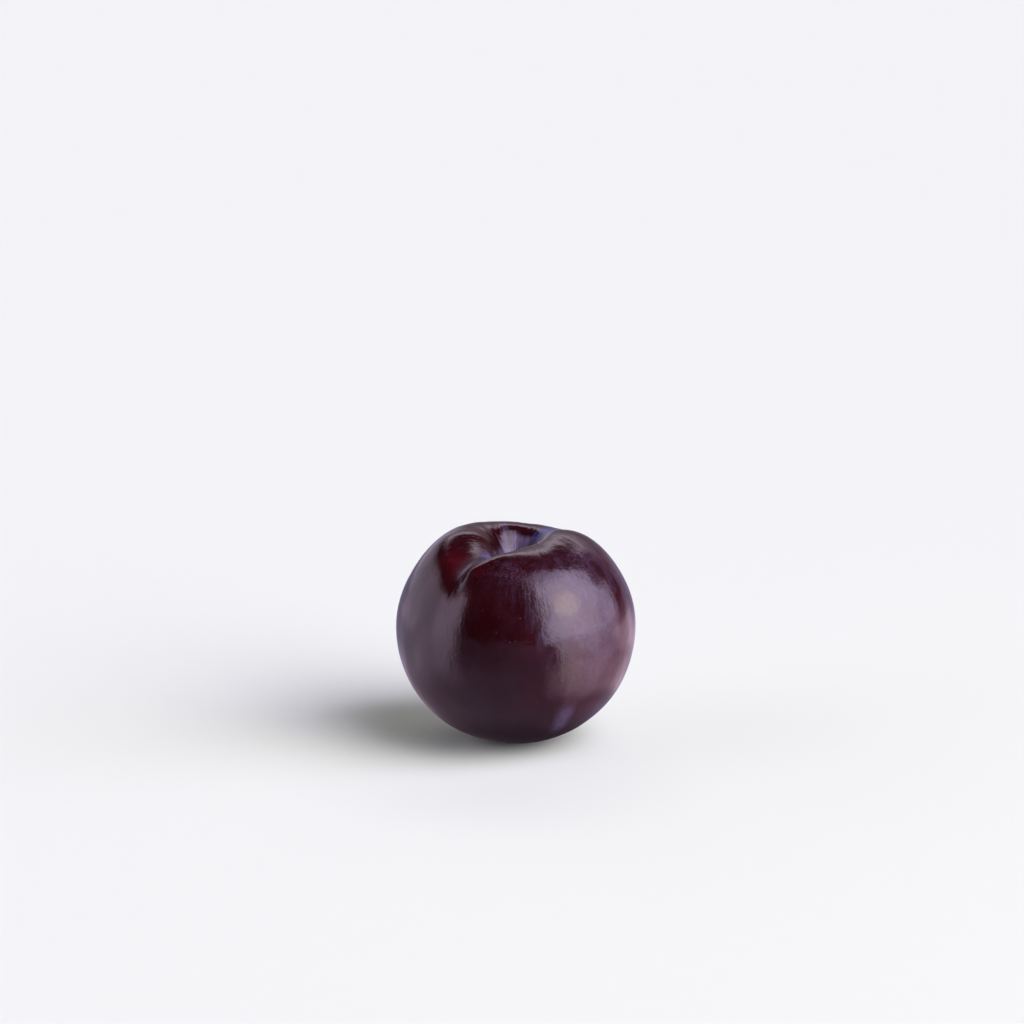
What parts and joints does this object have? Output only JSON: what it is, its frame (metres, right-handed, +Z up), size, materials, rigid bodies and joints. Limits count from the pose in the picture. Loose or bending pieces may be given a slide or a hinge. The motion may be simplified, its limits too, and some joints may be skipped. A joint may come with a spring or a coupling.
{
  "type": "plum",
  "caption": "Whole round plum with a stem cavity between two uneven shoulders, a suture down one side and a small flat spot to rest on.",
  "frame": {"origin": "middle of the small flat spot that the fruit rests on, under the middle of its box", "axes": "+Z up through the stem cavity; -Y towards the full face of the fruit; the suture leaves the cavity towards -X and -Y"},
  "size_m": [0.0684, 0.0684, 0.0617],
  "materials": {
    "skin": "dark purple-red fruit skin, semi-gloss, with a thin bluish wax bloom"
  },
  "bodies": {
    "root": {"plum": "skin"}
  },
  "joints": []
}
